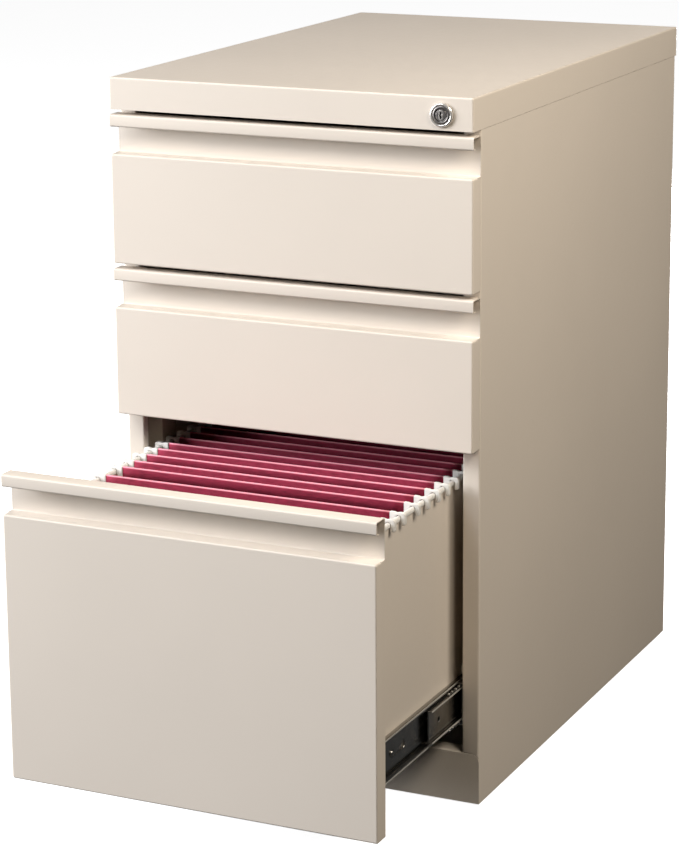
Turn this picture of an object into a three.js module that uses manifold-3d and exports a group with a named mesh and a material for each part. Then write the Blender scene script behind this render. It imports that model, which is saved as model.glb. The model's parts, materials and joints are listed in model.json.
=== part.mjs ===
// A three-drawer steel pedestal filing cabinet: two box drawers over one file drawer with hanging
// folders, on ball-bearing slides, with one lock. Millimetres, +Z up, +Y towards the back.
// The case is drawn with Y = 0 at the front of its flanges. The drawer fronts and the lid stand
// FRONT_DEPTH ahead of that plane, and the file drawer is drawn pulled out by FILE_OPENING.
import * as THREE from "three";
import { RoundedBoxGeometry } from "three/addons/geometries/RoundedBoxGeometry.js";
import { mergeVertices } from "three/addons/utils/BufferGeometryUtils.js";
import Module from "manifold-3d";

const manifold = await Module();
manifold.setup();

// Driving dimensions
const WIDTH = 381;
const DEPTH = 581;
const FRONT_DEPTH = 20;
const BASE_HEIGHT = 55;
const DRAWER_GAP = 5;
const BOX_FRONT_HEIGHT = 147.4;
const FILE_FRONT_HEIGHT = 299.8;
const LID_HEIGHT = 31.4;
const FILE_OPENING = 218;

// Sheet metal
const SHEET = 1;
const SEAM = 0.8;
const BEND = 1.5;
const BEND_STEPS = 2;
const EDGE_RADIUS = 2;
const CLEARANCE = 0.3;

// Case
const FLOOR_CLEARANCE = 2;
const CASE_HALF = WIDTH / 2 - 0.5;
const CASE_BACK = DEPTH - FRONT_DEPTH - 3;
const FLANGE_WIDTH = 18;
const FLANGE_RETURN = 8;
const REAR_FLANGE = 14;
const KICK_HEIGHT = 53;
const KICK_CORNER = 8;
const KICK_RETURN = 19;
const PAN_HALF = 170;
const PAN_WALL = 23;
const PAN_LEVEL = 7;
const GLIDE_X = 150;
const GLIDE_INSET = 32;
const GLIDE = { radius: 13, rounding: 1.5, foot: 4, neck: 5, height: 12, stud: 4, hole: 4.4 };
const WEIGHT_SIZE = { width: 280, depth: 110, height: 14 };

// Slides, all of them in the space between a post's face and a drawer's side
const POST_DEPTH = 18.4;
const POST_FACE = CASE_HALF - POST_DEPTH;
const POST_WIDTH = 31;
const POST_FLANGE = 15;
const POST_CENTRES = { front: 52, rear: 470 };
const POST_SLOT = { offset: 12, half: 3, height: 10 };
const SLIDE_BACK = POST_FACE - CLEARANCE;
const SLIDE_WIDTH = 12.7;
const SLIDE_SHEET = 1.2;
const SLIDE_CENTRE = 46;
const SLIDE_START = 4;
const CABINET_SLIDE_LENGTH = 500;
const MIDDLE_SLIDE_START = 43;
const MIDDLE_SLIDE_LENGTH = 400;
const DRAWER_SLIDE_LENGTH = 480;
const SLOT = { start: 72, end: 105, half: 4.5, radius: 4.2 };
const RIVET_HOLE = 2.8;
const RIVET_PLACES = [0.06, 0.9];

// Drawers, in a frame whose origin is under the middle of the case's front plane
const PULL_LIP = 12.3;
const PULL_HEM = 5;
const PULL_DEPTH = 17.3;
const PULL_HEIGHT = 38.6;
const LEDGE_LAP = 8;
const FRONT_BACK = -3;
const TRAY_HALF = SLIDE_BACK - SLIDE_WIDTH - CLEARANCE;
const TRAY_BOTTOM = 28;
const TRAY_FRONT = -0.9;
const TRAY_BACK = 486;
const BOX_TRAY_TOP = 112;
const FILE_TRAY_TOP = 266.2;
const BACK_RETURN = 14;

// File rails and hanging folders
const RAIL_WIDTH = 4.4;
const RAIL_CLIP = 1.8;
const RAIL_TOP = 268.8;
const RAIL_LENGTH = 468;
const FOLDER_PLACES = [79, 134, 182, 227.5, 273, 320];
const FOLDER_MOUTH = 23;
const FOLDER_HALF = 149;
const FOLDER_TOP = 272;
const FOLDER_BOTTOM = 38;
const FOLDER_FOLD = 4;
const BAR_HEIGHT = 11;
const BAR_THICKNESS = 3.4;
const HOOK_DROP = 9;
const HOOK_WIDTH = 4.3;

// Lock
const LOCK_X = 159;
const LOCK_DROP = 17;
const BEZEL = { radius: 11.5, edge: 1, proud: 2.6, crown: 2, bore: 2 };
const BARREL_RADIUS = 9.2;
const NUT_RADIUS = 12.5;
const NUT_DEPTH = 4;
const PLUG_RADIUS = 6;
const PLUG_PROUD = 2.4;
const BARREL_END = 2;
const TAIL_RADIUS = 3;
const KEYWAY = { half: 0.9, height: 3.6, depth: 8 };
const CAM_FRONT = 4.5;
const CAM_SHEET = 1.8;
const CAM_HALF = 5.5;
const CAM_NOSE = 3.5;
const CAM_PIN_ARM = 7;
const CAM_PIN_RADIUS = 2;
const PIN_OFFSET = CAM_PIN_ARM * Math.SQRT1_2;
const LOCK_BAR = { fingertip: 168, left: 175, right: 185, front: 8.6, back: 9.8, bottom: 60 };
const FINGER_DROP = 1.6;
const CATCH = { start: 16, plate: 24, rise: 40, height: 8, depth: 3, reach: 12 };

const HEIGHT = BASE_HEIGHT + FILE_FRONT_HEIGHT + 2 * BOX_FRONT_HEIGHT + 3 * DRAWER_GAP + LID_HEIGHT;
const LID_BOTTOM = HEIGHT - LID_HEIGHT;
const LOCK_Z = HEIGHT - LOCK_DROP;
const DRAWERS = [
  {
    name: "file",
    bottom: BASE_HEIGHT,
    height: FILE_FRONT_HEIGHT,
    trayTop: FILE_TRAY_TOP,
    open: FILE_OPENING,
  },
  {
    name: "middle",
    bottom: BASE_HEIGHT + FILE_FRONT_HEIGHT + DRAWER_GAP,
    height: BOX_FRONT_HEIGHT,
    trayTop: BOX_TRAY_TOP,
    open: 0,
  },
  {
    name: "top",
    bottom: BASE_HEIGHT + FILE_FRONT_HEIGHT + BOX_FRONT_HEIGHT + 2 * DRAWER_GAP,
    height: BOX_FRONT_HEIGHT,
    trayTop: BOX_TRAY_TOP,
    open: 0,
  },
];
const SIDES = { left: -1, right: 1 };

function finish(color, roughness, metalness) {
  return new THREE.MeshStandardMaterial({ color, roughness, metalness });
}

const PAINT = finish("#e6ddd0", 0.45, 0.1);
const INSIDE_PAINT = finish("#c9bfb0", 0.5, 0.1);
const ZINC = finish("#9a9b98", 0.35, 0.9);
const CHROME = finish("#c9c9c9", 0.15, 1);
const CASTING = finish("#4a4a48", 0.7, 0.6);
const WHITE_PLASTIC = finish("#eeeae2", 0.5, 0);
const BLACK_PLASTIC = finish("#2b2b2b", 0.6, 0);
const FOLDER_BOARD = finish("#8c2a40", 0.85, 0);

// Solids for joining and cutting, and back to geometry
function toSolid(geometry) {
  const bare = geometry.index ? geometry.toNonIndexed() : geometry.clone();
  bare.deleteAttribute("normal");
  bare.deleteAttribute("uv");
  const merged = mergeVertices(bare, 1e-4);
  return new manifold.Manifold(
    new manifold.Mesh({
      numProp: 3,
      vertProperties: merged.attributes.position.array,
      triVerts: new Uint32Array(merged.index.array),
    }),
  );
}

function toGeometry(solid) {
  const mesh = solid.getMesh();
  const geometry = new THREE.BufferGeometry();
  geometry.setAttribute("position", new THREE.BufferAttribute(mesh.vertProperties, 3));
  geometry.setIndex(new THREE.BufferAttribute(mesh.triVerts, 1));
  geometry.computeVertexNormals();
  return geometry;
}

const join = (first, ...others) =>
  toGeometry(others.reduce((solid, other) => solid.add(toSolid(other)), toSolid(first)));
const cut = (first, ...tools) =>
  toGeometry(tools.reduce((solid, tool) => solid.subtract(toSolid(tool)), toSolid(first)));

function box([x0, x1], [y0, y1], [z0, z1]) {
  const geometry = new THREE.BoxGeometry(x1 - x0, y1 - y0, z1 - z0);
  return geometry.translate((x0 + x1) / 2, (y0 + y1) / 2, (z0 + z1) / 2);
}

function roundedBox([x0, x1], [y0, y1], [z0, z1], radius = EDGE_RADIUS) {
  const geometry = new RoundedBoxGeometry(x1 - x0, y1 - y0, z1 - z0, 2, radius);
  return geometry.translate((x0 + x1) / 2, (y0 + y1) / 2, (z0 + z1) / 2);
}

function extrude(shape, length, across, up, outwards) {
  const geometry = new THREE.ExtrudeGeometry(shape, { depth: length, bevelEnabled: false, curveSegments: 4 });
  return geometry.applyMatrix4(new THREE.Matrix4().makeBasis(across, up, outwards));
}

const X = new THREE.Vector3(1, 0, 0);
const Y = new THREE.Vector3(0, 1, 0);
const Z = new THREE.Vector3(0, 0, 1);
const alongX = (shape, x0, x1) => extrude(shape, x1 - x0, Y, Z, X).translate(x0, 0, 0);
const alongY = (shape, y0, y1) => extrude(shape, y1 - y0, X, Z, Y.clone().negate()).translate(0, y1, 0);
const alongZ = (shape, z0, z1) => extrude(shape, z1 - z0, X, Y, Z).translate(0, 0, z0);

function cylinderAlongY(radius, y0, y1, x, z, sides = 20) {
  return new THREE.CylinderGeometry(radius, radius, y1 - y0, sides).translate(x, (y0 + y1) / 2, z);
}

function cylinderAlongX(radius, x0, x1, y, z, sides = 8) {
  const geometry = new THREE.CylinderGeometry(radius, radius, x1 - x0, sides).rotateZ(Math.PI / 2);
  return geometry.translate((x0 + x1) / 2, y, z);
}

// The section of a bent sheet whose middle line runs through the corners, with an arc at each bend.
function foldedSheet(corners, thickness = SHEET, radius = BEND) {
  const points = corners.map(([x, y]) => new THREE.Vector2(x, y));
  const heading = (from, to) => to.clone().sub(from).normalize();
  const leftOf = (direction) => new THREE.Vector2(-direction.y, direction.x);
  const centre = new THREE.Vector2();
  const last = points.length - 1;
  const line = [{ at: points[0], normal: leftOf(heading(points[0], points[1])) }];
  for (let i = 1; i < last; i++) {
    const before = heading(points[i - 1], points[i]);
    const after = heading(points[i], points[i + 1]);
    const turn = Math.atan2(before.cross(after), before.dot(after));
    const reach = Math.sign(turn) * radius;
    const setback = radius * Math.tan(Math.abs(turn) / 2);
    const pivot = points[i].clone().addScaledVector(before, -setback).addScaledVector(leftOf(before), reach);
    for (let step = 0; step <= BEND_STEPS; step++) {
      const normal = leftOf(before).rotateAround(centre, (turn * step) / BEND_STEPS);
      line.push({ at: pivot.clone().addScaledVector(normal, -reach), normal });
    }
  }
  line.push({ at: points[last], normal: leftOf(heading(points[last - 1], points[last])) });
  const face = (offset) => line.map(({ at, normal }) => at.clone().addScaledVector(normal, offset));
  return new THREE.Shape([...face(-thickness / 2), ...face(thickness / 2).reverse()]);
}

function roundedRectangle(x0, x1, y0, y1, radius) {
  const shape = new THREE.Shape();
  shape.absarc(x1 - radius, y1 - radius, radius, 0, Math.PI / 2);
  shape.absarc(x0 + radius, y1 - radius, radius, Math.PI / 2, Math.PI);
  shape.absarc(x0 + radius, y0 + radius, radius, Math.PI, 1.5 * Math.PI);
  shape.absarc(x1 - radius, y0 + radius, radius, 1.5 * Math.PI, 2 * Math.PI);
  return shape;
}

const model = new THREE.Group();
const caseGroup = new THREE.Group();
model.add(caseGroup);

function add(group, name, geometry, material) {
  const mesh = new THREE.Mesh(geometry, material);
  mesh.name = name;
  group.add(mesh);
  return mesh;
}

// Kick plate: its upper corners are rounded off under the side panels' flanges.
function kickOutline(grow) {
  const half = CASE_HALF + grow;
  const top = KICK_HEIGHT + grow;
  const radius = KICK_CORNER + grow;
  const shape = new THREE.Shape();
  shape.moveTo(-half, FLOOR_CLEARANCE - grow);
  shape.lineTo(half, FLOOR_CLEARANCE - grow);
  shape.absarc(half - radius, top - radius, radius, 0, Math.PI / 2);
  shape.absarc(-half + radius, top - radius, radius, Math.PI / 2, Math.PI);
  return shape;
}

function kickPlate() {
  const span = [-CASE_HALF + FLANGE_WIDTH + 1, CASE_HALF - FLANGE_WIDTH - 1];
  const face = alongY(kickOutline(0), 0, SHEET);
  const upper = box(span, [SHEET / 2, KICK_RETURN], [KICK_HEIGHT - SHEET, KICK_HEIGHT]);
  const lower = box(span, [SHEET / 2, KICK_RETURN], [FLOOR_CLEARANCE, FLOOR_CLEARANCE + SHEET]);
  return join(face, upper, lower);
}

// Side panel: a return, the front flange, the side and a rear flange, bent from one sheet.
function sidePanel(side) {
  const outer = CASE_HALF - SHEET / 2;
  const inner = CASE_HALF - FLANGE_WIDTH + SHEET / 2;
  const back = CASE_BACK - SHEET / 2;
  const section = foldedSheet([
    [side * inner, FLANGE_RETURN],
    [side * inner, SHEET / 2],
    [side * outer, SHEET / 2],
    [side * outer, back],
    [side * (CASE_HALF - REAR_FLANGE), back],
  ]);
  const panel = alongZ(section, FLOOR_CLEARANCE, LID_BOTTOM - CLEARANCE);
  return cut(panel, alongY(kickOutline(SEAM), -1, SHEET + CLEARANCE));
}

function backPanel() {
  const half = CASE_HALF - SHEET - CLEARANCE - BEND;
  const back = CASE_BACK - SHEET - CLEARANCE;
  const plate = box([-half, half], [back - SHEET, back], [FLOOR_CLEARANCE, LID_BOTTOM - CLEARANCE]);
  const footDepth = [back - 3 * SHEET, back - SHEET / 2];
  const foot = box([-PAN_HALF, PAN_HALF], footDepth, [FLOOR_CLEARANCE, PAN_LEVEL - 2]);
  return join(plate, foot);
}

// Lid: a tray turned over, with a return under its front edge and the hole for the lock.
function lid() {
  const across = [-WIDTH / 2, WIDTH / 2];
  const along = [-FRONT_DEPTH, DEPTH - FRONT_DEPTH];
  const inner = ([low, high]) => [low + SHEET, high - SHEET];
  const shell = cut(
    roundedBox(across, along, [LID_BOTTOM - 3 * EDGE_RADIUS, HEIGHT]),
    box(inner(across), inner(along), [LID_BOTTOM - 20, HEIGHT - SHEET]),
    box([-WIDTH, WIDTH], [-DEPTH, 2 * DEPTH], [LID_BOTTOM - 20, LID_BOTTOM]),
  );
  const span = [across[0] + SHEET / 2, across[1] - SHEET / 2];
  const frontReturn = box(span, [-FRONT_DEPTH + SHEET / 2, -CLEARANCE], [LID_BOTTOM, LID_BOTTOM + SHEET]);
  const lockHole = cylinderAlongY(BARREL_RADIUS + CLEARANCE, -FRONT_DEPTH - 2, 0, LOCK_X, LOCK_Z);
  return cut(join(shell, frontReturn), lockHole);
}

function basePan() {
  const wall = PAN_HALF - SHEET / 2;
  const section = foldedSheet([
    [-wall, PAN_LEVEL + PAN_WALL],
    [-wall, PAN_LEVEL],
    [wall, PAN_LEVEL],
    [wall, PAN_LEVEL + PAN_WALL],
  ]);
  const pan = alongY(section, KICK_RETURN + 3, CASE_BACK - 8);
  const hole = new THREE.CylinderGeometry(GLIDE.hole, GLIDE.hole, 10, 16).rotateX(Math.PI / 2);
  const holes = glidePlaces().map(({ x, y }) => hole.clone().translate(x, y, PAN_LEVEL));
  return cut(pan, ...holes);
}

function glidePlaces() {
  return [
    { name: "front_left", x: -GLIDE_X, y: GLIDE_INSET },
    { name: "front_right", x: GLIDE_X, y: GLIDE_INSET },
    { name: "rear_left", x: -GLIDE_X, y: CASE_BACK - GLIDE_INSET },
    { name: "rear_right", x: GLIDE_X, y: CASE_BACK - GLIDE_INSET },
  ];
}

function glide() {
  const { radius: rim, rounding, foot, neck, height: top, stud } = GLIDE;
  const profile = [
    [0, 0],
    [rim - rounding, 0],
    [rim, rounding],
    [rim, foot],
    [stud, neck],
    [stud, top],
    [0, top],
  ].map(([radius, height]) => new THREE.Vector2(radius, height));
  return new THREE.LatheGeometry(profile, 16).rotateX(Math.PI / 2);
}

// Post: a hat section on the side panel's inside, with two rows of slots for the slides' hooks.
function slidePost(side, centre) {
  const base = CASE_HALF - SHEET - CLEARANCE - SHEET / 2;
  const face = POST_FACE + SHEET / 2;
  const half = (POST_WIDTH - SHEET) / 2;
  const section = foldedSheet([
    [side * base, centre - half - POST_FLANGE],
    [side * base, centre - half],
    [side * face, centre - half],
    [side * face, centre + half],
    [side * base, centre + half],
    [side * base, centre + half + POST_FLANGE],
  ]);
  const post = alongZ(section, PAN_LEVEL + 1, HEIGHT - SHEET - CLEARANCE - 2);
  const slots = [];
  for (const drawer of DRAWERS) {
    for (const row of [-1, 1]) {
      const z = drawer.bottom + SLIDE_CENTRE + row * POST_SLOT.offset;
      const { half, height } = POST_SLOT;
      const across = side > 0 ? [POST_FACE - 2, POST_FACE + 3] : [-POST_FACE - 3, -POST_FACE + 2];
      slots.push(box(across, [centre - half, centre + half], [z - height / 2, z + height / 2]));
    }
  }
  return cut(post, ...slots);
}

function addCase() {
  add(caseGroup, "kick_plate", kickPlate(), PAINT);
  add(caseGroup, "back_panel", backPanel(), PAINT);
  add(caseGroup, "lid", lid(), PAINT);
  add(caseGroup, "base_pan", basePan(), INSIDE_PAINT);
  for (const [name, side] of Object.entries(SIDES)) {
    add(caseGroup, `side_panel_${name}`, sidePanel(side), PAINT);
    for (const [place, centre] of Object.entries(POST_CENTRES))
      add(caseGroup, `slide_post_${place}_${name}`, slidePost(side, centre), INSIDE_PAINT);
  }
  for (const { name, x, y } of glidePlaces())
    add(caseGroup, `floor_glide_${name}`, glide(), BLACK_PLASTIC).position.set(x, y, 0);
  const { width, depth, height } = WEIGHT_SIZE;
  const weightBack = CASE_BACK - 2 * GLIDE_INSET;
  const weightBase = PAN_LEVEL + SHEET;
  add(
    caseGroup,
    "counterweight",
    box([-width / 2, width / 2], [weightBack - depth, weightBack], [weightBase, weightBase + height]),
    CASTING,
  );
}

// Slide members. Two equal channels face each other, and the middle member, a beam, runs inside both.
// Each section is a list of [distance from the post, height].
const CHANNEL_EDGE = 18.2;
const CHANNEL_HALF = 20.9;
const BEAM_HALF = 16.7;
const BEAM_FLANGE = 1.2;
const CHANNELS = { cabinet: [0.6, 5.4], drawer: [12.1, 7.3] };
const BEAM = { left: 2.2, webLeft: 5.6, webRight: 7.1, right: 10.5 };

function channelSection(kind) {
  const [web, lip] = CHANNELS[kind];
  return [
    [lip, CHANNEL_EDGE],
    [lip, CHANNEL_HALF],
    [web, CHANNEL_HALF],
    [web, -CHANNEL_HALF],
    [lip, -CHANNEL_HALF],
    [lip, -CHANNEL_EDGE],
  ];
}

function beamSection() {
  const { left, webLeft, webRight, right } = BEAM;
  const inner = BEAM_HALF - BEAM_FLANGE;
  return [
    [left, -BEAM_HALF],
    [right, -BEAM_HALF],
    [right, -inner],
    [webRight, -inner],
    [webRight, inner],
    [right, inner],
    [right, BEAM_HALF],
    [left, BEAM_HALF],
    [left, inner],
    [webLeft, inner],
    [webLeft, -inner],
    [left, -inner],
  ];
}

function slideMember(kind, side, start, length) {
  const onSide = ([inset, height]) => [side * (SLIDE_BACK - inset), height];
  const shape =
    kind === "middle"
      ? new THREE.Shape(beamSection().map((corner) => new THREE.Vector2(...onSide(corner))))
      : foldedSheet(channelSection(kind).map(onSide), SLIDE_SHEET, SLIDE_SHEET);
  const member = alongY(shape, start, start + length);
  const reach = side > 0 ? [SLIDE_BACK - 20, SLIDE_BACK + 5] : [-SLIDE_BACK - 5, -SLIDE_BACK + 20];
  const holes = RIVET_PLACES.map((place) => cylinderAlongX(RIVET_HOLE, ...reach, start + place * length, 0));
  const slot = roundedRectangle(start + SLOT.start, start + SLOT.end, -SLOT.half, SLOT.half, SLOT.radius);
  return cut(member, ...holes, alongX(slot, ...reach));
}

function addSlides(group, kind, drawer, start, length) {
  for (const [name, side] of Object.entries(SIDES)) {
    const label = `${kind}_slide_${drawer.name}_${name}`;
    add(group, label, slideMember(kind, side, start, length), ZINC);
  }
}

// Drawer front: a pan open at the back, and above it one sheet bent into the recess and the pull.
function drawerFront(height) {
  const across = [-WIDTH / 2, WIDTH / 2];
  const ledge = height - PULL_HEIGHT;
  const face = -FRONT_DEPTH + SHEET / 2;
  const pan = cut(
    roundedBox(across, [-FRONT_DEPTH, 3 * EDGE_RADIUS], [0, ledge]),
    box([across[0] + SHEET, across[1] - SHEET], [-FRONT_DEPTH + SHEET, 20], [SHEET, ledge - SHEET]),
    box([-WIDTH, WIDTH], [FRONT_BACK, 20], [-1, height]),
  );
  const wall = -FRONT_DEPTH + PULL_DEPTH + SHEET / 2;
  const lipBottom = height - PULL_LIP + SHEET / 2;
  const pull = foldedSheet([
    [face + PULL_HEM, lipBottom],
    [face, lipBottom],
    [face, height - SHEET / 2],
    [wall, height - SHEET / 2],
    [wall, ledge - SHEET / 2],
    [wall - LEDGE_LAP, ledge - SHEET / 2],
  ]);
  return join(pan, alongX(pull, ...across));
}

// Drawer tray: the sides and bottom from one sheet, and the inner front that closes the front's pan.
function drawerTray({ height, trayTop }) {
  const wall = TRAY_HALF - SHEET / 2;
  const floor = TRAY_BOTTOM + SHEET / 2;
  const ledge = height - PULL_HEIGHT;
  const inner = SHEET + CLEARANCE;
  const panelBack = FRONT_BACK - CLEARANCE;
  const section = foldedSheet([
    [-wall, trayTop],
    [-wall, floor],
    [wall, floor],
    [wall, trayTop],
  ]);
  const shell = cut(
    alongY(section, panelBack - SHEET / 2, TRAY_BACK),
    box([-WIDTH, WIDTH], [-FRONT_DEPTH, TRAY_FRONT], [ledge - 2 * SHEET, height]),
  );
  const span = [-WIDTH / 2 + inner, WIDTH / 2 - inner];
  return join(shell, box(span, [panelBack - SHEET, panelBack], [inner, ledge - inner]));
}

function drawerBack(top) {
  const wall = TRAY_HALF - SHEET - CLEARANCE - SHEET / 2;
  const back = TRAY_BACK - SHEET;
  const section = foldedSheet([
    [-wall, back - BACK_RETURN],
    [-wall, back],
    [wall, back],
    [wall, back - BACK_RETURN],
  ]);
  return alongZ(section, TRAY_BOTTOM + 2 * SHEET, top);
}

// Lock catch: a small block on the drawer's right side, which the lock bar's finger rises ahead of.
function lockCatch() {
  const x0 = TRAY_HALF + CLEARANCE;
  const z0 = SLIDE_CENTRE + CATCH.rise;
  const { start, depth, height, reach } = CATCH;
  const stop = box([x0, x0 + reach], [start, start + depth], [z0, z0 + height]);
  const plate = box([x0, x0 + 1.5 * SHEET], [start, start + CATCH.plate], [z0 - 2, z0 + height + 2]);
  return join(stop, plate);
}

// File rail: a rounded bead that clips over the top of a tray's side.
function fileRail(side) {
  const centre = side * (TRAY_HALF - SHEET / 2);
  const half = RAIL_WIDTH / 2;
  const slot = SHEET / 2 + CLEARANCE;
  const base = FILE_TRAY_TOP - RAIL_CLIP;
  const shape = new THREE.Shape();
  shape.moveTo(centre + slot, base);
  shape.lineTo(centre + half, base);
  shape.absarc(centre, RAIL_TOP - half, half, 0, Math.PI);
  shape.lineTo(centre - half, base);
  shape.lineTo(centre - slot, base);
  shape.lineTo(centre - slot, FILE_TRAY_TOP + CLEARANCE);
  shape.lineTo(centre + slot, FILE_TRAY_TOP + CLEARANCE);
  const start = TRAY_FRONT + SHEET + CLEARANCE;
  return alongY(shape, start, start + RAIL_LENGTH);
}

// Hanging folder: a V of board on two bars, whose hooked ends sit over the file rails.
function hangingFolder() {
  const fold = (FOLDER_MOUTH - FOLDER_FOLD) / 2;
  const board = foldedSheet(
    [
      [0, FOLDER_TOP],
      [fold, FOLDER_BOTTOM],
      [FOLDER_MOUTH - fold, FOLDER_BOTTOM],
      [FOLDER_MOUTH, FOLDER_TOP],
    ],
    SHEET,
    SHEET,
  );
  const railCentre = TRAY_HALF - SHEET / 2;
  const notchIn = railCentre - RAIL_WIDTH / 2 - 0.5;
  const notchOut = railCentre + RAIL_WIDTH / 2 + 0.5;
  const end = notchOut + HOOK_WIDTH;
  const seat = RAIL_TOP + CLEARANCE;
  const barTop = FOLDER_TOP - 0.2;
  const barShape = new THREE.Shape();
  barShape.moveTo(-end, barTop);
  for (const [x, z] of [
    [-end, seat - HOOK_DROP],
    [-notchOut, seat - HOOK_DROP],
    [-notchOut, seat],
    [-notchIn, seat],
    [-notchIn, FOLDER_TOP - BAR_HEIGHT],
    [notchIn, FOLDER_TOP - BAR_HEIGHT],
    [notchIn, seat],
    [notchOut, seat],
    [notchOut, seat - HOOK_DROP],
    [end, seat - HOOK_DROP],
    [end, barTop],
  ])
    barShape.lineTo(x, z);
  const bar = (y) => alongY(barShape, y - BAR_THICKNESS / 2, y + BAR_THICKNESS / 2);
  return join(alongX(board, -FOLDER_HALF, FOLDER_HALF), bar(0), bar(FOLDER_MOUTH));
}

function addDrawer(drawer) {
  const group = new THREE.Group();
  group.position.set(0, -drawer.open, drawer.bottom);
  caseGroup.add(group);
  add(group, `drawer_front_${drawer.name}`, drawerFront(drawer.height), PAINT);
  add(group, `drawer_tray_${drawer.name}`, drawerTray(drawer), PAINT);
  add(group, `drawer_back_${drawer.name}`, drawerBack(drawer.trayTop), PAINT);
  add(group, `lock_catch_${drawer.name}`, lockCatch(), ZINC);

  const onSlides = new THREE.Group();
  onSlides.position.z = SLIDE_CENTRE;
  group.add(onSlides);
  addSlides(onSlides, "drawer", drawer, SLIDE_START, DRAWER_SLIDE_LENGTH);

  // The middle members travel half as far as the drawer.
  const carriage = new THREE.Group();
  carriage.position.set(0, -drawer.open / 2, drawer.bottom + SLIDE_CENTRE);
  caseGroup.add(carriage);
  addSlides(carriage, "middle", drawer, MIDDLE_SLIDE_START, MIDDLE_SLIDE_LENGTH);

  const onPosts = new THREE.Group();
  onPosts.position.z = drawer.bottom + SLIDE_CENTRE;
  caseGroup.add(onPosts);
  addSlides(onPosts, "cabinet", drawer, SLIDE_START, CABINET_SLIDE_LENGTH);
  return group;
}

function addFolders(group) {
  for (const [name, side] of Object.entries(SIDES))
    add(group, `file_rail_${name}`, fileRail(side), WHITE_PLASTIC);
  for (const [i, place] of FOLDER_PLACES.entries())
    add(group, `hanging_folder_${i + 1}`, hangingFolder(), FOLDER_BOARD).position.y = place;
}

// Lock: a barrel held in the lid by a nut, a plug that turns in it, and a cam whose pin lifts the bar.
function lockTurning(profile) {
  const points = profile.map(([radius, y]) => new THREE.Vector2(radius, y));
  return new THREE.LatheGeometry(points, 20).translate(LOCK_X, 0, LOCK_Z);
}

function lockHousing() {
  const face = -FRONT_DEPTH - CLEARANCE;
  const bore = PLUG_RADIUS + CLEARANCE;
  return lockTurning([
    [bore, face - BEZEL.bore],
    [BEZEL.radius - BEZEL.crown, face - BEZEL.proud],
    [BEZEL.radius, face - BEZEL.edge],
    [BEZEL.radius, face],
    [BARREL_RADIUS, face],
    [BARREL_RADIUS, BARREL_END],
    [bore, BARREL_END],
    [bore, face - BEZEL.bore],
  ]);
}

function lockNut() {
  const start = -FRONT_DEPTH + SHEET + CLEARANCE;
  const end = start + NUT_DEPTH;
  const hexagon = cylinderAlongY(NUT_RADIUS, start, end, LOCK_X, LOCK_Z, 6);
  return cut(hexagon, cylinderAlongY(BARREL_RADIUS + CLEARANCE, start - 1, end + 1, LOCK_X, LOCK_Z));
}

function lockPlug() {
  const face = -FRONT_DEPTH - CLEARANCE - PLUG_PROUD;
  const body = lockTurning([
    [0, face],
    [PLUG_RADIUS, face],
    [PLUG_RADIUS, BARREL_END + CLEARANCE],
    [TAIL_RADIUS, BARREL_END + CLEARANCE],
    [TAIL_RADIUS, CAM_FRONT + CAM_SHEET + 1],
    [0, CAM_FRONT + CAM_SHEET + 1],
  ]);
  const { half, height, depth } = KEYWAY;
  const keyway = box([-half, half], [face - 1, face + depth], [-height, height]);
  return cut(body, keyway.translate(LOCK_X, 0, LOCK_Z));
}

function lockCam() {
  const end = CAM_FRONT + CAM_SHEET;
  const outline = roundedRectangle(-CAM_HALF, CAM_PIN_ARM + CAM_NOSE, -CAM_HALF, CAM_HALF, CAM_HALF - 0.5);
  const plate = alongY(outline, CAM_FRONT, end).rotateY(Math.PI / 4).translate(LOCK_X, 0, LOCK_Z);
  const [pinX, pinZ] = [LOCK_X + PIN_OFFSET, LOCK_Z - PIN_OFFSET];
  const pin = cylinderAlongY(CAM_PIN_RADIUS, CAM_FRONT + 0.5, LOCK_BAR.back + 1, pinX, pinZ, 12);
  const hole = cylinderAlongY(TAIL_RADIUS + CLEARANCE, CAM_FRONT - 1, end + 1, LOCK_X, LOCK_Z);
  return cut(join(plate, pin), hole);
}

// Lock bar: a strip with a slotted tab at the cam's pin and a finger under each drawer's catch.
function lockBar() {
  const { fingertip, left, right, front, back, bottom } = LOCK_BAR;
  const pinHeight = LOCK_Z - PIN_OFFSET;
  const strip = box([left, right], [front, back], [bottom, pinHeight + 5]);
  const tab = box([LOCK_X + 1, right], [front, back], [pinHeight - 6, pinHeight + 6]);
  const fingers = DRAWERS.map((drawer) => {
    const top = drawer.bottom + SLIDE_CENTRE + CATCH.rise - FINGER_DROP;
    return box([fingertip, right], [front, back], [top - CATCH.height, top]);
  });
  const slotHalf = CAM_PIN_RADIUS + 0.5;
  const slot = box(
    [LOCK_X + PIN_OFFSET - slotHalf, LOCK_X + CAM_PIN_ARM + slotHalf],
    [front - 1, back + 1],
    [pinHeight - slotHalf, pinHeight + slotHalf],
  );
  return cut(join(strip, tab, ...fingers), slot);
}

addCase();
for (const drawer of DRAWERS) {
  const group = addDrawer(drawer);
  if (drawer.name === "file") addFolders(group);
}
add(caseGroup, "lock_housing", lockHousing(), CHROME);
add(caseGroup, "lock_nut", lockNut(), ZINC);
add(caseGroup, "lock_plug", lockPlug(), CHROME);
add(caseGroup, "lock_cam", lockCam(), ZINC);
add(caseGroup, "lock_bar", lockBar(), ZINC);

// The origin is on the floor, under the middle of the whole cabinet with its file drawer out.
const foremost = -FRONT_DEPTH - FILE_OPENING;
const rearmost = DEPTH - FRONT_DEPTH;
caseGroup.position.y = -(foremost + rearmost) / 2;

export default model;
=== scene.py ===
"""A steel pedestal filing cabinet in a pale studio: putty powder coat, zinc slides, a chrome lock
and burgundy hanging folders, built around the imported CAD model. Metres; constants named in mm."""

import json
import math
import random

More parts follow.
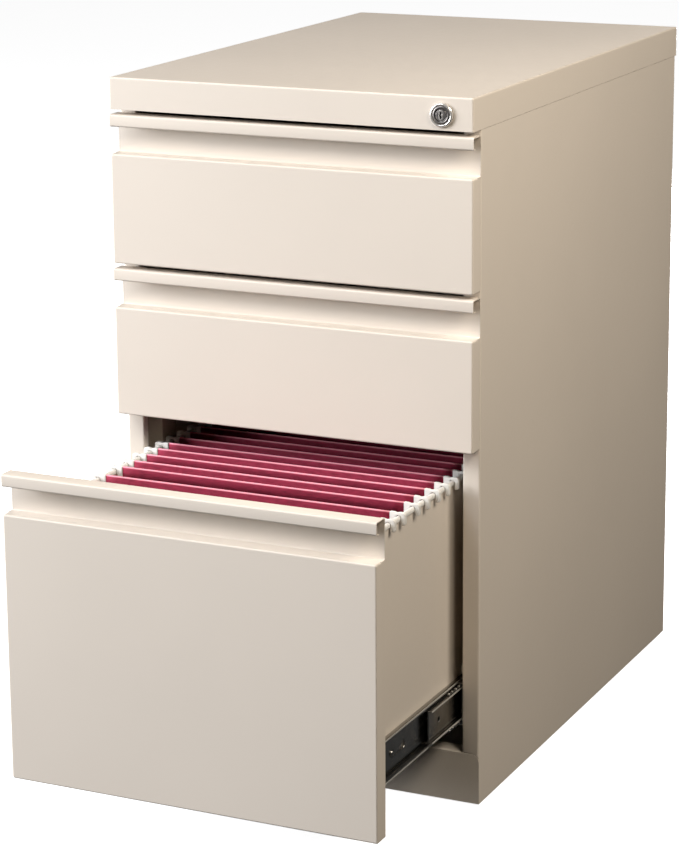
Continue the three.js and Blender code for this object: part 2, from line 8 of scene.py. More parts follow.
import bmesh
import bpy
from mathutils import Matrix, Vector


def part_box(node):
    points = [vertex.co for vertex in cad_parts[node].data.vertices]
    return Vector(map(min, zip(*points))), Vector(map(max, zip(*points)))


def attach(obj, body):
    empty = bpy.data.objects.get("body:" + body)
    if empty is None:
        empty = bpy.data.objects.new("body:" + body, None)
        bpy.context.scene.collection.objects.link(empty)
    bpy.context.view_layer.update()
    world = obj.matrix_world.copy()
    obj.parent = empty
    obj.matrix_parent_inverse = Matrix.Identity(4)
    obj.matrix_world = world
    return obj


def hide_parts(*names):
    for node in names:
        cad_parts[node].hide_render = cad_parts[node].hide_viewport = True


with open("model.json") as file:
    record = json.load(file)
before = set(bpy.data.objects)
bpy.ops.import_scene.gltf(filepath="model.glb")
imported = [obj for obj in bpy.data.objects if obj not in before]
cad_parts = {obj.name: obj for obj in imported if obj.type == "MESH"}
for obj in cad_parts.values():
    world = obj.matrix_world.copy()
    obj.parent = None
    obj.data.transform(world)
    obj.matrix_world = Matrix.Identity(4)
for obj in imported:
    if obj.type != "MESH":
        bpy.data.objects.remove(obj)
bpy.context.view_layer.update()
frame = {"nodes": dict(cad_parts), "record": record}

MM = 0.001
SEED = 7
MESH_WELD = 1e-6

# CAD nodes
CAD_WELD = 0.01
CAD_BEVEL = 0.3
CAD_CREASE = math.radians(50)

# Camera: a long lens, ahead of the cabinet and to its right, a little above it.
CAMERA_PLACE = Vector((1.1446, -2.4934, 1.0629))
CAMERA_YAW = math.radians(25.26)
CAMERA_PITCH = math.radians(13.37)
CAMERA_ROLL = math.radians(-0.46)
CAMERA_LENS = 115.3
CAMERA_SHIFT = -0.104

# Lights: place and target in metres, size in metres, power in watts, colour
AMBIENT = 0.07
LIGHTS = {
    "left_key": ((-2.8, -1.6, 1.6), (0, -0.25, 0.4), (1.4, 1.4), 106, (0.99, 1.01, 1.06)),
    "high_key": ((-1.4, -2.3, 3.0), (0, -0.25, 0.4), (1.5, 1.5), 48, (1, 1.01, 1.04)),
    "low_light": ((-3.0, -2.2, 0.8), (0, -0.25, 0.35), (1.4, 1.0), 64, (1, 1, 1)),
    "side_light": ((1.4, -0.2, 1.7), (0.19, 0, 0.6), (0.6, 0.6), 18, (1.08, 0.99, 0.87)),
    "side_front_light": ((1.3, -1.0, 1.7), (0.19, -0.1, 0.6), (0.6, 0.6), 12.5, (1.1, 0.99, 0.83)),
    "back_fill": ((-0.4, 3.4, 0.5), (-0.1, 0.28, 0.4), (0.9, 0.5), 75, (1, 1, 1)),
}

# Colours, linear
PUTTY = (0.78, 0.705, 0.62)
# Painted shade: a darker copy of the putty for the parts inside the case
SHADED_INSIDE_PUTTY = (0.50, 0.44, 0.36)
ZINC = (0.36, 0.35, 0.33)
# Painted highlight: pale zinc for the strips along the slides' rolled edges
LIP_HIGHLIGHT_ZINC = (0.62, 0.6, 0.56)
# Painted reflection: pale chrome, only in part metallic, so that its diffuse share shows as a bright sheen
CHROME_SHEEN = (0.86, 0.83, 0.79)
SATIN = (0.24, 0.225, 0.215)
IRON = (0.06, 0.06, 0.06)
WHITE_PLASTIC = (0.86, 0.84, 0.80)
BLACK_PLASTIC = (0.02, 0.02, 0.02)
BURGUNDY = (0.30, 0.022, 0.055)
# Painted highlight: the pink along the folder boards' top fold, where the light catches it
FOLD_HIGHLIGHT_PINK = (0.88, 0.34, 0.42)
FLOOR = (0.88, 0.88, 0.88)
FLOOR_GLOW = 1.05

# Folders
FOLDER_COUNT = 6
BOARD_THICKNESS = 0.4
BOARD_HALF_WIDTH = 149
BOARD_STEP = 15
BOARD_COLUMNS = 25
FOLD_HALF_WIDTH = 2
HEM_RADIUS = 1.3
HEM_LENGTH = 11
HEM_SHINE = (1.4, 0.5)
FOLDER_BELLY = 1.2
BAR = {"half_length": 153, "height": 10, "thickness": 0.9, "edge": 0.2, "drop": 2}
BAR_FROM_FACE = 1.7

# A hook's outline about the middle of its rail's top: (x, z, corner radius)
HOOK = [
    (-8.8, -7.4, 1.4),
    (-2.9, -7.4, 1.2),
    (-2.7, 0.3, 1.8),
    (2.7, 0.3, 1.8),
    (2.8, -8.8, 0.8),
    (7.0, -8.8, 2.1),
    (7.0, 3.0, 2.8),
    (1.0, 3.2, 3.0),
    (-2.0, 2.4, 2.0),
    (-4.4, 3.2, 0.8),
    (-8.8, 3.2, 0.5),
]
HOOK_THICKNESS = 4.2
HOOK_EDGE = 0.7

# Slides, with the screws' places as shares of their member's length
SCREW_PLACES = {"drawer": (0.06, 0.156, 0.9), "cabinet": (0.06, 0.9)}
# Painted shade: the dark zinc plate behind each slot in the drawers' slides
SLOT_SHADE_PLATE = {
    "half_length": 17,
    "half_height": 4.9,
    "rounding": 4.6,
    "thickness": 0.4,
    "edge": 0.1,
    "inset": 0.45,
}
SLIDE_SHEET = 1.2
LIP_HEIGHT = 1.6
LIP_THICKNESS = 0.6
SCREW_RADIUS = 3.4
BALL_GAP = 3.6
BALL_RADIUS = 1.6
BALL_PITCH = 8
BALL_ROW_OFFSETS = (-3, 3)
BALL_ROW_SHARE = 0.8
SLOT_PLACE = 88.5


# ---------------------------------------------------------------- camera, light and floor

def make_camera():
    data = bpy.data.cameras.new("camera")
    data.lens = CAMERA_LENS
    data.shift_y = CAMERA_SHIFT
    data.clip_end = 50
    camera = bpy.data.objects.new("camera", data)
    turn = Matrix.Rotation(CAMERA_YAW, 4, "Z") @ Matrix.Rotation(math.pi / 2 - CAMERA_PITCH, 4, "X")
    camera.matrix_world = Matrix.Translation(CAMERA_PLACE) @ turn @ Matrix.Rotation(CAMERA_ROLL, 4, "Z")
    bpy.context.scene.collection.objects.link(camera)
    bpy.context.scene.camera = camera


def area_light(name, place, target, size, power, colour):
    data = bpy.data.lights.new(name, "AREA")
    data.shape = "RECTANGLE"
    data.size, data.size_y = size
    data.energy = power
    data.color = colour
    light = bpy.data.objects.new(name, data)
    light.location = place
    light.rotation_euler = (Vector(target) - Vector(place)).to_track_quat("-Z", "Y").to_euler()
    bpy.context.scene.collection.objects.link(light)


def make_studio():
    """Soft boxes: keys on the left, weaker ones on the right, a fill behind, and a sky for gloss."""
    for name, settings in LIGHTS.items():
        area_light(name, *settings)
    world = bpy.data.worlds.new("studio")
    world.use_nodes = True
    background = world.node_tree.nodes["Background"]
    background.inputs["Color"].default_value = (1, 1, 1, 1)
    background.inputs["Strength"].default_value = AMBIENT
    world.cycles_visibility.diffuse = False
    bpy.context.scene.world = world
    bpy.context.scene.view_settings.view_transform = "Standard"


def make_floor():
    """A pale floor that glows enough to fade into white, and throws no light back on the cabinet."""
    bpy.ops.mesh.primitive_plane_add(size=40, location=(0, 0, 0))
    floor = bpy.context.object
    floor.name = "floor"
    floor.visible_diffuse = False
    floor.visible_glossy = False
    floor.data.materials.append(floor_finish())


# ---------------------------------------------------------------- finishes

class Finish:
    """A Principled material whose textures are all read from object coordinates, in metres."""

    def __init__(self, name, colour, roughness, metallic=0.0, **constants):
        self.material = bpy.data.materials.new(name)
        self.material.use_nodes = True
        self.tree = self.material.node_tree
        self.shader = self.tree.nodes["Principled BSDF"]
        self.shader.inputs["Base Color"].default_value = (*colour, 1)
        self.shader.inputs["Roughness"].default_value = roughness
        self.shader.inputs["Metallic"].default_value = metallic
        for key, value in constants.items():
            self.shader.inputs[key.replace("_", " ")].default_value = value
        self.place = self.tree.nodes.new("ShaderNodeTexCoord").outputs["Object"]
        self.normal = None

    def node(self, kind, **settings):
        made = self.tree.nodes.new(kind)
        for key, value in settings.items():
            setattr(made, key, value)
        return made

    def link(self, output, socket):
        self.tree.links.new(output, socket)

    def noise(self, scale, detail, stretch=(1, 1, 1)):
        mapping = self.node("ShaderNodeMapping")
        mapping.inputs["Scale"].default_value = stretch
        self.link(self.place, mapping.inputs["Vector"])
        made = self.node("ShaderNodeTexNoise")
        made.inputs["Scale"].default_value = scale
        made.inputs["Detail"].default_value = detail
        self.link(mapping.outputs["Vector"], made.inputs["Vector"])
        return made.outputs["Fac"]

    def cells(self, scale):
        made = self.node("ShaderNodeTexVoronoi")
        made.inputs["Scale"].default_value = scale
        self.link(self.place, made.inputs["Vector"])
        return made.outputs["Distance"]

    def spread(self, value, low, high, source=(0.3, 0.7)):
        made = self.node("ShaderNodeMapRange")
        for name, number in zip(("From Min", "From Max", "To Min", "To Max"), (*source, low, high)):
            made.inputs[name].default_value = number
        self.link(value, made.inputs["Value"])
        return made.outputs["Result"]

    def rough(self, value, low, high):
        self.link(self.spread(value, low, high), self.shader.inputs["Roughness"])

    def tint(self, value, dark, light):
        ramp = self.node("ShaderNodeValToRGB")
        ramp.color_ramp.elements[0].position = 0.3
        ramp.color_ramp.elements[1].position = 0.7
        ramp.color_ramp.elements[0].color = (*dark, 1)
        ramp.color_ramp.elements[1].color = (*light, 1)
        self.link(value, ramp.inputs["Fac"])
        self.link(ramp.outputs["Color"], self.shader.inputs["Base Color"])
        return ramp.outputs["Color"]

    def height(self):
        split = self.node("ShaderNodeSeparateXYZ")
        self.link(self.place, split.inputs["Vector"])
        return split.outputs["Z"]

    def edge(self, colour, shine, factor):
        """Mixes the shine colour over a colour output where the factor rises to 1."""
        mix = self.node("ShaderNodeMix", data_type="RGBA")
        mix.inputs["B"].default_value = (*shine, 1)
        self.link(factor, mix.inputs["Factor"])
        self.link(colour, mix.inputs["A"])
        self.link(mix.outputs["Result"], self.shader.inputs["Base Color"])

    def bump(self, height, strength, depth_mm):
        made = self.node("ShaderNodeBump")
        made.inputs["Strength"].default_value = strength
        made.inputs["Distance"].default_value = depth_mm * MM
        self.link(height, made.inputs["Height"])
        if self.normal:
            self.link(self.normal, made.inputs["Normal"])
        self.normal = made.outputs["Normal"]
        self.link(self.normal, self.shader.inputs["Normal"])


def scaled(colour, factor):
    return tuple(channel * factor for channel in colour)


def powder_coat(name, colour):
    finish = Finish(name, colour, 0.42, Specular_IOR_Level=0.45)
    finish.tint(finish.noise(4, 3), scaled(colour, 0.975), scaled(colour, 1.02))
    finish.rough(finish.noise(160, 3), 0.38, 0.5)
    finish.bump(finish.noise(420, 2), 0.12, 0.12)
    finish.bump(finish.noise(1500, 2), 0.1, 0.04)
    return finish.material


def zinc_plate(name):
    finish = Finish(name, ZINC, 0.2, 1.0)
    drawn = finish.noise(220, 4, stretch=(1, 0.03, 1))
    finish.tint(finish.noise(60, 4), scaled(ZINC, 0.85), scaled(ZINC, 1.1))
    finish.rough(drawn, 0.15, 0.28)
    finish.bump(drawn, 0.08, 0.05)
    return finish.material


def lip_highlight_finish(name):
    """Painted highlight for the slides' rolled lips: a pale, part-metallic zinc that shows as bright
    lines.
    """
    finish = Finish(name, LIP_HIGHLIGHT_ZINC, 0.3, 0.4)
    drawn = finish.noise(220, 4, stretch=(1, 0.03, 1))
    finish.tint(drawn, scaled(LIP_HIGHLIGHT_ZINC, 0.75), scaled(LIP_HIGHLIGHT_ZINC, 1.2))
    finish.rough(drawn, 0.22, 0.36)
    return finish.material


def chrome_with_painted_sheen(name):
    # Painted reflection: metallic only 0.7, so the pale base colour is lit like paint besides the chrome's
    # reflections
    finish = Finish(name, CHROME_SHEEN, 0.2, 0.7)
    finish.tint(finish.noise(120, 3), scaled(CHROME_SHEEN, 0.94), scaled(CHROME_SHEEN, 1.04))
    finish.rough(finish.noise(300, 3), 0.16, 0.26)
    return finish.material


def satin_chrome(name):
    finish = Finish(name, SATIN, 0.38, 1.0)
    finish.tint(finish.noise(150, 3), scaled(SATIN, 0.9), scaled(SATIN, 1.08))
    finish.rough(finish.noise(260, 3), 0.32, 0.45)
    return finish.material


def raw_iron(name):
    finish = Finish(name, IRON, 0.7, 0.6)
    finish.tint(finish.noise(90, 5), scaled(IRON, 0.7), (0.12, 0.10, 0.08))
    finish.bump(finish.noise(500, 4), 0.5, 0.4)
    return finish.material


def moulded_plastic(name, colour):
    finish = Finish(name, colour, 0.4)
    finish.tint(finish.noise(30, 2), scaled(colour, 0.96), scaled(colour, 1.02))
    finish.rough(finish.noise(400, 2), 0.34, 0.5)
    finish.bump(finish.cells(1800), 0.12, 0.03)
    return finish.material


def folder_board(name, colour):
    """Card with fine fibres, and a painted pink highlight along the fold over its bars."""
    finish = Finish(name, colour, 0.8, Specular_IOR_Level=0.3)
    fibres = finish.noise(500, 6, stretch=(0.25, 1, 1))
    body = finish.tint(fibres, scaled(colour, 0.78), scaled(colour, 1.22))
    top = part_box("hanging_folder_1")[1].z
    # Painted highlight: pink mixed over the top of the board, where its fold catches the light
    painted_highlight_band = [top - drop * MM for drop in HEM_SHINE]
    finish.edge(body, FOLD_HIGHLIGHT_PINK, finish.spread(finish.height(), 0, 1, painted_highlight_band))
    finish.rough(finish.noise(200, 3), 0.7, 0.9)
    finish.bump(fibres, 0.35, 0.1)
    return finish.material


def floor_finish():
    finish = Finish("floor_finish", FLOOR, 0.6, Emission_Color=(*FLOOR, 1), Emission_Strength=FLOOR_GLOW)
    finish.tint(finish.noise(0.6, 2), scaled(FLOOR, 0.99), scaled(FLOOR, 1.01))
    return finish.material


def make_finishes():
    return {
        "cabinet_paint": powder_coat("cabinet_paint", PUTTY),
        # Painted shade: the inside parts take a darker copy of the putty
        "inside_paint": powder_coat("inside_paint", SHADED_INSIDE_PUTTY),
        "slide_zinc": zinc_plate("slide_zinc"),
        "slide_edge": lip_highlight_finish("slide_edge"),
        "lock_chrome": chrome_with_painted_sheen("lock_chrome"),
        "lock_satin": satin_chrome("lock_satin"),
        "weight_iron": raw_iron("weight_iron"),
        "rail_plastic": moulded_plastic("rail_plastic", WHITE_PLASTIC),
        "glide_plastic": moulded_plastic("glide_plastic", BLACK_PLASTIC),
        "folder_board": folder_board("folder_board", BURGUNDY),
    }


# ---------------------------------------------------------------- CAD nodes that stay

def smoothing_nodes():
    """Welds a CAD mesh and shades its bends smooth, keeping edges sharper than the limit crisp."""
    group = bpy.data.node_groups.new("weld_and_smooth", "GeometryNodeTree")
    group.interface.new_socket("Geometry", in_out="INPUT", socket_type="NodeSocketGeometry")
    group.interface.new_socket("Geometry", in_out="OUTPUT", socket_type="NodeSocketGeometry")
    nodes, links = group.nodes, group.links
    entry, out = nodes.new("NodeGroupInput"), nodes.new("NodeGroupOutput")
    weld = nodes.new("GeometryNodeMergeByDistance")
    weld.inputs["Distance"].default_value = CAD_WELD * MM
    angle = nodes.new("GeometryNodeInputMeshEdgeAngle")
    gentle = nodes.new("FunctionNodeCompare")
    gentle.operation = "LESS_EQUAL"
    gentle.inputs[1].default_value = CAD_CREASE
    faces, edges = nodes.new("GeometryNodeSetShadeSmooth"), nodes.new("GeometryNodeSetShadeSmooth")
    edges.domain = "EDGE"
    links.new(entry.outputs[0], weld.inputs["Geometry"])
    links.new(weld.outputs["Geometry"], faces.inputs["Geometry"])
    links.new(faces.outputs["Geometry"], edges.inputs["Geometry"])
    links.new(angle.outputs["Unsigned Angle"], gentle.inputs[0])
    links.new(gentle.outputs["Result"], edges.inputs["Shade Smooth"])
    links.new(edges.outputs["Geometry"], out.inputs[0])
    return group


def dress_cad_nodes(finishes):
    smoothing = smoothing_nodes()
    slots = {row["node"]: row["material_slot"] for row in frame["record"]["subparts"]}
    for name, node in frame["nodes"].items():
        node.data.materials.clear()
        node.data.materials.append(finishes[slots[name]])
        if node.data.attributes.get("custom_normal"):
            node.data.attributes.remove(node.data.attributes["custom_normal"])
        node.modifiers.new("smooth", "NODES").node_group = smoothing
        bevel = node.modifiers.new("bevel", "BEVEL")
        bevel.width = CAD_BEVEL * MM
        bevel.segments = 2
        bevel.limit_method = "ANGLE"
        bevel.angle_limit = CAD_CREASE
        flatten = node.modifiers.new("flatten", "WEIGHTED_NORMAL")
        flatten.mode = "FACE_AREA"
        flatten.keep_sharp = True


# ---------------------------------------------------------------- mesh helpers

# Turns for flat outlines, which are drawn in XY: facing the front, and facing a side
UPRIGHT = Matrix.Rotation(math.pi / 2, 4, "X")
SIDEWAYS = Matrix.Rotation(math.pi / 2, 4, "Z") @ UPRIGHT


def new_piece(name, mesh, finish, body, replaces=()):
    piece = bpy.data.objects.new(name, mesh)
    bpy.context.scene.collection.objects.link(piece)
    mesh.materials.clear()
    mesh.materials.append(finish)
    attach(piece, body)
    if replaces:
        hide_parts(*replaces)
    return piece


def rounded_outline(corners, radius, steps=4):
    """A closed outline whose corners are arcs; corners are (x, z) or (x, z, own radius)."""
    points = [Vector(corner[:2]) for corner in corners]
    outline = []
    for i, at in enumerate(points):
        wanted = corners[i][2] if len(corners[i]) > 2 else radius
        before, after = points[i - 1] - at, points[(i + 1) % len(points)] - at
        half = before.angle(after) / 2
        setback = min(wanted / math.tan(half), before.length / 2, after.length / 2)
        true_radius = setback * math.tan(half)
        to_before, to_after = before.normalized(), after.normalized()
        start, end = at + to_before * setback, at + to_after * setback
        if true_radius < 1e-4:
            outline.append(at)
            continue
        centre = at + (to_before + to_after).normalized() * (true_radius / math.sin(half))
        sweep = (start - centre).angle_signed(end - centre)
        for step in range(steps + 1):
            arm = (start - centre).copy()
            arm.rotate(Matrix.Rotation(-sweep * step / steps, 2))
            outline.append(centre + arm)
    return outline


def circle_outline(radius, sides=64):
    turn = 2 * math.pi / sides
    return [radius * Vector((math.cos(i * turn), math.sin(i * turn))) for i in range(sides)]


def plate_mesh(name, outlines, thickness, edge, to_world):
    """A plate in the local XY plane, centred on it, from outlines and holes, with rounded edges."""
    curve = bpy.data.curves.new(name, "CURVE")
    curve.dimensions = "2D"
    curve.fill_mode = "BOTH"
    curve.extrude = thickness / 2 - edge
    curve.bevel_depth = edge
    curve.bevel_resolution = 2
    curve.offset = -edge
    for outline in outlines:
        spline = curve.splines.new("POLY")
        spline.points.add(len(outline) - 1)
        for point, at in zip(spline.points, outline):
            point.co = (at[0], at[1], 0, 1)
        spline.use_cyclic_u = True
    maker = bpy.data.objects.new(name, curve)
    bpy.context.scene.collection.objects.link(maker)
    bpy.context.view_layer.update()
    mesh = bpy.data.meshes.new_from_object(maker.evaluated_get(bpy.context.evaluated_depsgraph_get()))
    bpy.data.objects.remove(maker)
    weld(mesh)
    mesh.transform(to_world)
    shade(mesh)
    return mesh


def weld(mesh):
    bm = bmesh.new()
    bm.from_mesh(mesh)
    bmesh.ops.remove_doubles(bm, verts=bm.verts, dist=MESH_WELD)
    bmesh.ops.recalc_face_normals(bm, faces=bm.faces)
    bm.to_mesh(mesh)
    bm.free()


def shade(mesh, limit=40):
    mesh.polygons.foreach_set("use_smooth", [True] * len(mesh.polygons))
    mesh.set_sharp_from_angle(angle=math.radians(limit))
    mesh.update()


def lathe_mesh(name, profile, to_world, sides=64):
    """A turned mesh about the local Z axis from (radius, z) points in metres, closed on the axis."""
    bm = bmesh.new()
    rings = []
    for radius, z in profile:
        if radius < 1e-7:
            rings.append([bm.verts.new((0, 0, z))])
        else:
            circle = circle_outline(radius, sides)
            rings.append([bm.verts.new((x, y, z)) for x, y in circle])
    for low, high in zip(rings, rings[1:]):
        for i in range(sides):
            j = (i + 1) % sides
            corners = [low[i % len(low)], low[j % len(low)], high[j % len(high)], high[i % len(high)]]
            unique = list(dict.fromkeys(corners))
            if len(unique) > 2:
                bm.faces.new(unique)
    bmesh.ops.recalc_face_normals(bm, faces=bm.faces)
    mesh = bpy.data.meshes.new(name)
    bm.to_mesh(mesh)
    bm.free()
    mesh.transform(to_world)
    shade(mesh)
    return mesh


def facing(place, direction):
    """Local Z along the direction and local X level, at the place."""
    turn = Vector(direction).to_track_quat("Z", "Y").to_matrix().to_4x4()
    return Matrix.Translation(place) @ turn


# ---------------------------------------------------------------- hanging folders

def swept_mesh(name, columns, line, place):
    """A sheet whose section is the line, with place(u, point) giving each of its points."""
    bm = bmesh.new()
    grid = [[bm.verts.new(place(i / (columns - 1), at)) for at in line] for i in range(columns)]
    for left, right in zip(grid, grid[1:]):
        for j in range(len(line) - 1):
            bm.faces.new((left[j], right[j], right[j + 1], left[j + 1]))
    bmesh.ops.recalc_face_normals(bm, faces=bm.faces)
    mesh = bpy.data.meshes.new(name)
    bm.to_mesh(mesh)
    bm.free()
    shade(mesh, 60)
    return mesh


def subdivided(points, longest):
    """The same line with points added, so that none of its steps is longer than asked."""
    line = [points[0]]
    for a, b in zip(points, points[1:]):
        steps = math.ceil((b - a).length / longest)
        line += [a.lerp(b, step / steps) for step in range(1, steps + 1)]
    return line


def arc_angles(steps=8):
    """Half a turn in equal steps, from 180 degrees down to 0."""
    return [math.pi * (1 - i / steps) for i in range(steps + 1)]


class Folder:
    """One hanging folder: a V of board hemmed over two bars, which hook over the file rails."""

    def __init__(self, number, finishes, draw):
        self.number = number
        self.node = f"hanging_folder_{number}"
        self.body = f"folder_{number}"
        self.finishes = finishes
        self.draw = draw
        low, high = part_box(self.node)
        rail_low, rail_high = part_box("file_rail_right")
        self.rail_x = (rail_low.x + rail_high.x) / 2
        self.rail_top = rail_high.z
        self.bars = (low.y + BAR_FROM_FACE * MM, high.y - BAR_FROM_FACE * MM)
        self.bottom = low.z
        self.top = high.z
        self.half_width = BOARD_HALF_WIDTH * MM

    def make(self):
        self.make_board()
        for index, y in enumerate(self.bars):
            self.make_bar(index, y)
            for side in (-1, 1):
                self.make_hook(index, y, side)

    def section(self):
        """The board's middle line, from inside one hem, over its bar, down the V and up to the other."""
        reach = HEM_RADIUS * MM
        top = self.top - reach - BOARD_THICKNESS / 2 * MM
        fold, hem = FOLD_HALF_WIDTH * MM, HEM_LENGTH * MM
        front, back = self.bars
        middle = (front + back) / 2
        bottom = self.bottom + 0.4 * MM
        over_front, over_back = (
            [Vector((bar - reach * math.cos(turn), top + reach * math.sin(turn))) for turn in arc_angles()]
            for bar in self.bars
        )
        points = [
            Vector((front - reach * 0.9, top - hem)),
            *over_front[::-1],
            Vector((middle - fold, bottom)),
            Vector((middle + fold, bottom)),
            *over_back[::-1],
            Vector((back + reach * 0.9, top - hem)),
        ]
        return subdivided(points, BOARD_STEP * MM)

    def make_board(self):
        middle = (self.bars[0] + self.bars[1]) / 2
        phase = self.draw.uniform(0, 2 * math.pi)
        belly = FOLDER_BELLY * MM * self.draw.uniform(0.6, 1.0)
        depth = self.top - self.bottom

        def place(u, at):
            x = (2 * u - 1) * self.half_width
            down = (self.top - at.y) / depth
            slack = math.sin(math.pi * min(1, down)) * belly
            outward = -1 if at.x < middle else 1
            wave = 0.5 + 0.5 * math.sin(phase + 5 * u + 2 * down)
            return Vector((x, at.x - outward * slack * wave, at.y))

        label = f"folder_{self.number}_board"
        mesh = swept_mesh(label, BOARD_COLUMNS, self.section(), place)
        finish = self.finishes["folder_board"]
        board = new_piece(label, mesh, finish, self.body, (self.node,))
        thicken = board.modifiers.new("thickness", "SOLIDIFY")
        thicken.thickness = BOARD_THICKNESS * MM
        thicken.offset = 0

    def make_bar(self, index, y):
        half, height = BAR["half_length"] * MM, BAR["height"] * MM
        corners = [(-half, -height), (half, -height), (half, 0), (-half, 0)]
        place = Matrix.Translation((0, y, self.top - BAR["drop"] * MM))
        label = f"folder_{self.number}_bar_{index + 1}"
        outline = rounded_outline(corners, 1 * MM)
        mesh = plate_mesh(label, [outline], BAR["thickness"] * MM, BAR["edge"] * MM, place @ UPRIGHT)
        new_piece(label, mesh, self.finishes["slide_zinc"], self.body)

    def make_hook(self, index, y, side):
        outline = rounded_outline([(x * MM, z * MM, r * MM) for x, z, r in HOOK], 1 * MM, 5)
        flip = Matrix.Diagonal((side, 1, 1, 1))
        stand = Matrix.Translation((side * self.rail_x, y, self.rail_top)) @ UPRIGHT
        label = f"folder_{self.number}_hook_{index + 1}_{'left' if side < 0 else 'right'}"
        mesh = plate_mesh(label, [outline], HOOK_THICKNESS * MM, HOOK_EDGE * MM, stand @ flip)
        if side < 0:
            mesh.flip_normals()
        new_piece(label, mesh, self.finishes["rail_plastic"], self.body)


# ---------------------------------------------------------------- lock

def turned_piece(name, profile, stand, finish, body, replaces=()):
    """A turned part of the lock, from (radius, depth) points in millimetres."""
    mesh = lathe_mesh(name, [(radius * MM, depth * MM) for radius, depth in profile], stand)
    new_piece(name, mesh, finish, body, replaces)


def lock_plate(name, outlines, place, thickness, finish):
    """A flat part of the plug's face."""
    stand = Matrix.Translation(place) @ UPRIGHT
    mesh = plate_mesh(name, outlines, thickness * MM, thickness / 8 * MM, stand)
    new_piece(name, mesh, finish, "lock_plug")


def make_lock(finishes):
    low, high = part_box("lock_housing")
    plug_low, plug_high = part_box("lock_plug")
    centre = Vector(((low.x + high.x) / 2, low.y, (low.z + high.z) / 2))
    inward = facing(centre, (0, 1, 0))
    chrome, satin = finishes["lock_chrome"], finishes["lock_satin"]
    length = (high.y - low.y) / MM
    bezel = [
        (6.3, 1.9), (9.1, 1.9), (9.2, 0.3), (9.6, 0.05), (10.0, 0.0), (10.7, 0.35), (11.2, 0.9),
        (11.45, 1.5), (11.5, 2.2), (11.4, 2.6), (9.2, 2.6), (9.2, length), (6.3, length), (6.3, 1.9),
    ]
    turned_piece("lock_bezel", bezel, inward, chrome, "case", ("lock_housing",))
    face_ring = [(6.35, 1.8), (6.35, 0.55), (6.6, 0.4), (8.1, 0.45), (8.4, 0.7), (8.4, 1.8), (6.35, 1.8)]
    turned_piece("lock_face_ring", face_ring, inward, satin, "case")

    face = Vector((centre.x, plug_low.y, centre.z))
    depth = (plug_high.y - plug_low.y) / MM
    barrel = [
        (0, 2.6), (5.4, 2.6), (5.4, 0.5), (5.7, 0.3), (5.95, 0.6), (6.0, 1.0), (6.0, 22.6),
        (3, 22.6), (3, depth), (0, depth),
    ]
    turned_piece("lock_plug_barrel", barrel, facing(face, (0, 1, 0)), satin, "lock_plug", ("lock_plug",))

    keyway = [
        (-0.9, -3.6), (0.9, -3.6), (0.9, -1.2), (0.3, -0.6), (0.3, 0.6), (0.9, 1.2),
        (0.9, 3.6), (-0.9, 3.6), (-0.9, 0.9), (-1.5, 0.3), (-1.5, -0.9), (-0.9, -1.5),
    ]
    hole = rounded_outline([(x * MM, z * MM) for x, z in keyway], 0.3 * MM, 3)
    disc = circle_outline(5.35 * MM)
    lock_plate("lock_plug_face", [disc, hole], face + Vector((0, 1.3 * MM, 0)), 2.0, satin)
    surround = [(-2.3, -4.6), (2.0, -4.6), (2.0, 4.6), (-2.3, 4.6)]
    rim = rounded_outline([(x * MM, z * MM) for x, z in surround], 1.9 * MM, 6)
    lock_plate("lock_keyway_rim", [rim, hole], face + Vector((0, 0.2 * MM, 0)), 0.36, chrome)


# ---------------------------------------------------------------- slide hardware

def make_screw(name, place, outward, radius, finish, body):
    """A pan-head screw, its head's foot at the place."""
    head = [(0, 0.55), (0.5, 0.6), (0.75, 0.5), (0.93, 0.3), (1.0, 0.08), (1.0, 0), (0, 0)]
    stand = facing(place, outward)
    mesh = lathe_mesh(name, [(r * radius, z * radius) for r, z in head], stand, 32)
    new_piece(name, mesh, finish, body)


def make_balls(name, centres, length, finish, body):
    """Rows of balls in the gap between two slide members, each row about one of the centres."""
    bm = bmesh.new()
    count = int(length / (BALL_PITCH * MM))
    for centre in centres:
        for i in range(count):
            at = centre + Vector((0, (i - (count - 1) / 2) * BALL_PITCH * MM, 0))
            place = Matrix.Translation(at)
            bmesh.ops.create_icosphere(bm, subdivisions=2, radius=BALL_RADIUS * MM, matrix=place)
    mesh = bpy.data.meshes.new(name)
    bm.to_mesh(mesh)
    bm.free()
    shade(mesh)
    new_piece(name, mesh, finish, body)


def make_slide_screws(member, drawer, side, body, inward, finish):
    """Screws in a channel's web, with their heads on the side where the balls run."""
    low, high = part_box(f"{member}_slide_{drawer}_{side}")
    sign = -1 if side == "left" else 1
    at_low_x = (sign > 0) != inward
    face = low.x + SLIDE_SHEET * MM if at_low_x else high.x - SLIDE_SHEET * MM
    outward = (1, 0, 0) if at_low_x else (-1, 0, 0)
    for index, fraction in enumerate(SCREW_PLACES[member]):
        place = Vector((face, low.y + fraction * (high.y - low.y), (low.z + high.z) / 2))
        name = f"{member}_slide_screw_{drawer}_{side}_{index + 1}"
        make_screw(name, place, outward, SCREW_RADIUS * MM, finish, body)


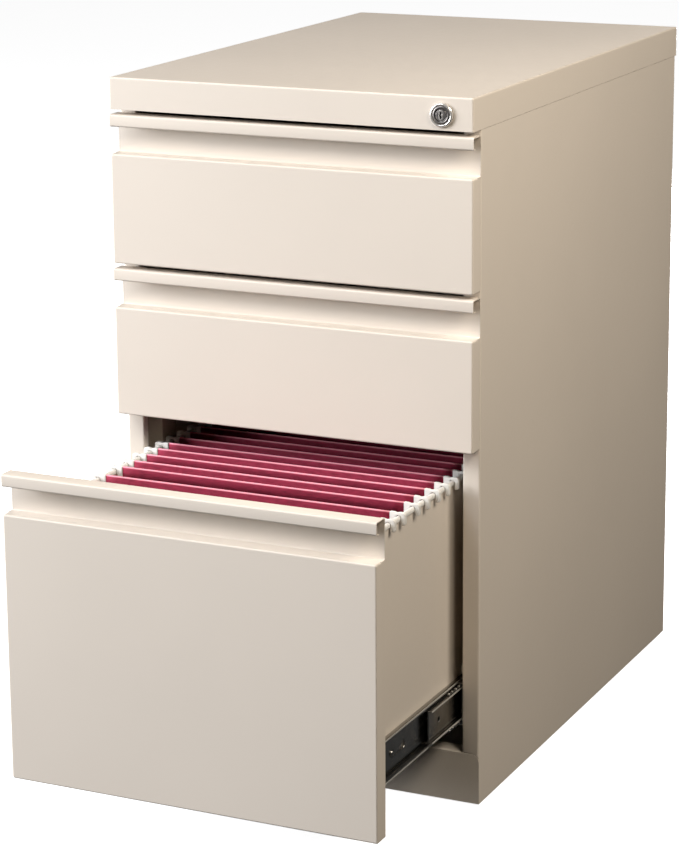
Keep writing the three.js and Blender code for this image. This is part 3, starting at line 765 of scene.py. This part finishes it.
def make_slot_shade_plate(drawer, side, finish):
    """Painted shade: a dark zinc plate just behind the slot in the drawer's slide, so that the slot reads
    dark.
    """
    low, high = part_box(f"drawer_slide_{drawer}_{side}")
    inner = low.x if side == "right" else high.x
    inward = -1 if side == "right" else 1
    x = inner - inward * SLOT_SHADE_PLATE["inset"] * MM
    centre = Vector((x, low.y + SLOT_PLACE * MM, (low.z + high.z) / 2))
    half, height = SLOT_SHADE_PLATE["half_length"] * MM, SLOT_SHADE_PLATE["half_height"] * MM
    corners = [(-half, -height), (half, -height), (half, height), (-half, height)]
    outline = rounded_outline(corners, SLOT_SHADE_PLATE["rounding"] * MM)
    name = f"slide_slot_tab_{drawer}_{side}"
    stand = Matrix.Translation(centre) @ SIDEWAYS
    mesh = plate_mesh(name, [outline], SLOT_SHADE_PLATE["thickness"] * MM, SLOT_SHADE_PLATE["edge"] * MM, stand)
    new_piece(name, mesh, finish, f"{drawer}_drawer")


def make_lip_highlights(member, drawer, side, body, finish):
    """Thin strips along the top and bottom of a slide's member, with a painted highlight for its rolled
    edges.
    """
    low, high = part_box(f"{member}_slide_{drawer}_{side}")
    outer = high.x - LIP_THICKNESS / 3 * MM if side == "right" else low.x + LIP_THICKNESS / 3 * MM
    half = (high.y - low.y) / 2 - 0.5 * MM
    tall = LIP_HEIGHT / 2 * MM
    outline = rounded_outline([(-half, -tall), (half, -tall), (half, tall), (-half, tall)], 0.4 * MM)
    for row, z in (("upper", high.z - tall), ("lower", low.z + tall)):
        name = f"slide_lip_{member}_{drawer}_{side}_{row}"
        place = Matrix.Translation((outer, (low.y + high.y) / 2, z))
        mesh = plate_mesh(name, [outline], LIP_THICKNESS * MM, 0.2 * MM, place @ SIDEWAYS)
        new_piece(name, mesh, finish, body)


def make_slides(finishes):
    zinc = finishes["slide_zinc"]
    for drawer in ("top", "middle", "file"):
        for side in ("left", "right"):
            make_slide_screws("drawer", drawer, side, f"{drawer}_drawer", False, zinc)
            # Painted shade: a dark plate behind the slot in the drawer's slide
            make_slot_shade_plate(drawer, side, zinc)
            # Painted highlight: pale strips along the top and bottom edges of each member
            make_lip_highlights("drawer", drawer, side, f"{drawer}_drawer", finishes["slide_edge"])
            make_lip_highlights("middle", drawer, side, f"{drawer}_carriage", finishes["slide_edge"])
            make_slide_screws("cabinet", drawer, side, "case", True, zinc)
            low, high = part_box(f"middle_slide_{drawer}_{side}")
            middle = (low + high) / 2
            for row, z in (("upper", high.z + BALL_GAP / 2 * MM), ("lower", low.z - BALL_GAP / 2 * MM)):
                centres = [Vector((middle.x + offset * MM, middle.y, z)) for offset in BALL_ROW_OFFSETS]
                name = f"slide_balls_{drawer}_{side}_{row}"
                make_balls(name, centres, BALL_ROW_SHARE * (high.y - low.y), zinc, f"{drawer}_carriage")


# ---------------------------------------------------------------- the scene

make_camera()
make_studio()
make_floor()
finishes = make_finishes()
dress_cad_nodes(finishes)
draw = random.Random(SEED)
for number in range(1, FOLDER_COUNT + 1):
    Folder(number, finishes, draw).make()
make_lock(finishes)
make_slides(finishes)
